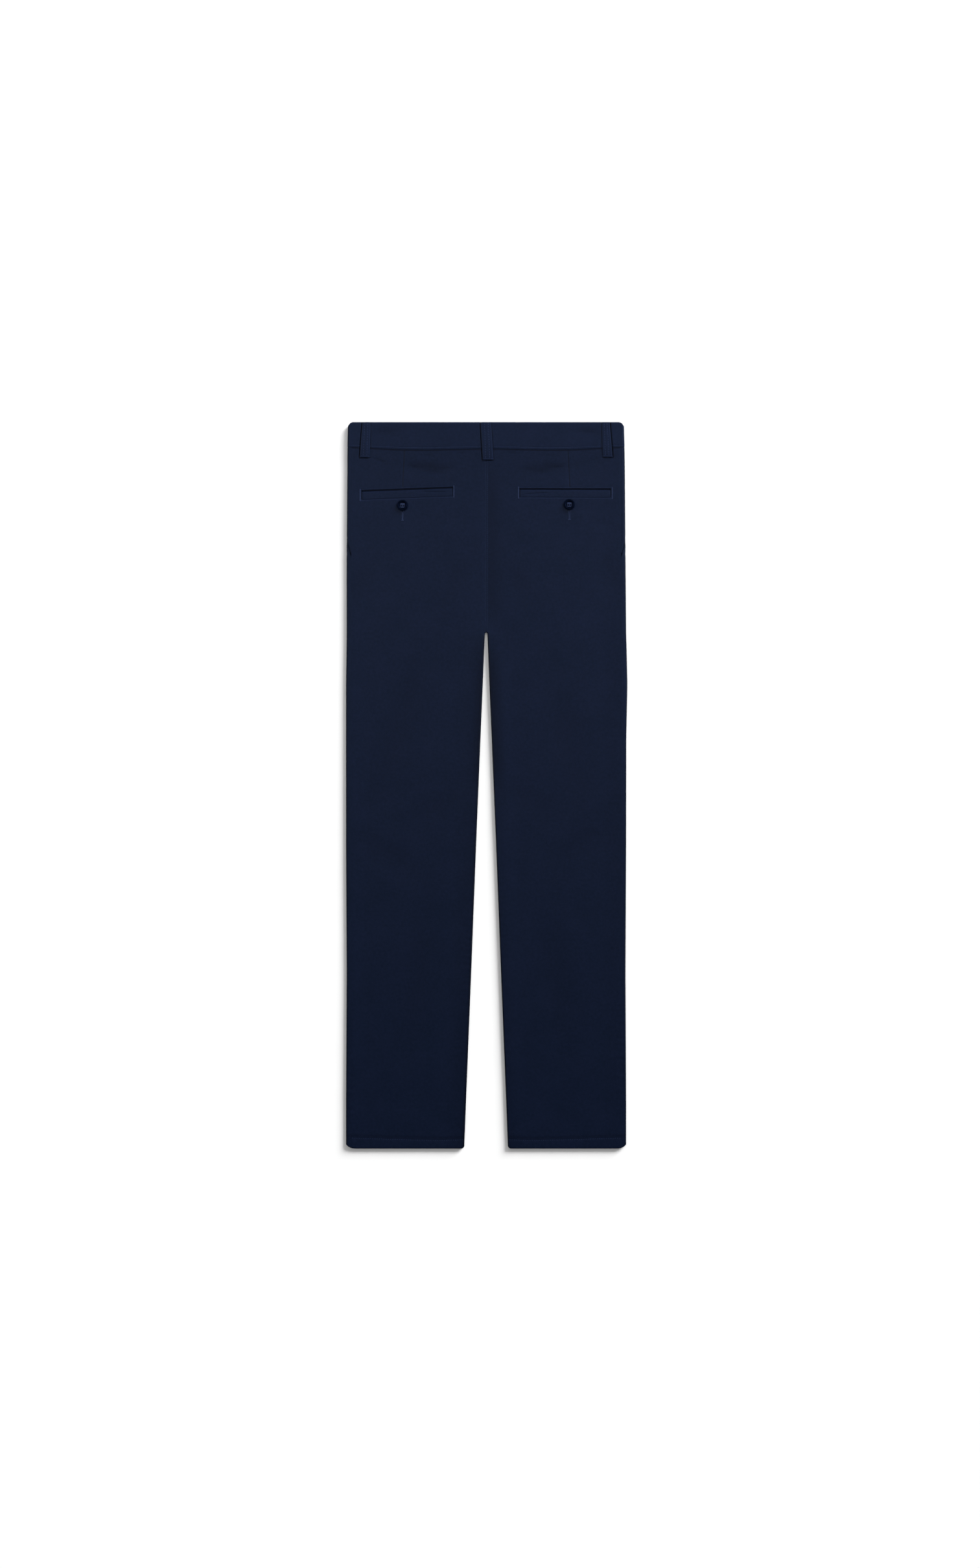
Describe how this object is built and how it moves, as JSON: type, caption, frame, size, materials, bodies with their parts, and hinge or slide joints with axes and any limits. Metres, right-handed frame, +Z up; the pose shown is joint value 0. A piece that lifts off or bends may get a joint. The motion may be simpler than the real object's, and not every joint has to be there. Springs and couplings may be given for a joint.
{
  "type": "chino trousers",
  "caption": "Straight chino trousers laid flat back up, with belt loops, buttoned welt pockets and a tabbed waistband.",
  "frame": {"origin": "middle of the underside, on the surface that the trousers lie on", "axes": "+X to the wearer's right, +Y from the hems towards the waist, +Z up out of the back of the trousers"},
  "size_m": [0.4166, 1.076, 0.0095],
  "materials": {
    "navy_twill": "matt woven cotton twill, softly brushed",
    "navy_resin": "moulded resin button, polished"
  },
  "bodies": {
    "root": {"back_left": "navy_twill", "back_right": "navy_twill", "front_left": "navy_twill", "front_right": "navy_twill", "pocket_facing_left": "navy_twill", "pocket_facing_right": "navy_twill", "waistband_left": "navy_twill", "waistband_right": "navy_twill", "welt_left": "navy_twill", "welt_right": "navy_twill", "loop_back_left": "navy_twill", "loop_back_centre": "navy_twill", "loop_back_right": "navy_twill", "loop_front_left": "navy_twill", "loop_front_right": "navy_twill", "button_back_left": "navy_resin", "button_back_right": "navy_resin", "button_front": "navy_resin"}
  },
  "joints": []
}
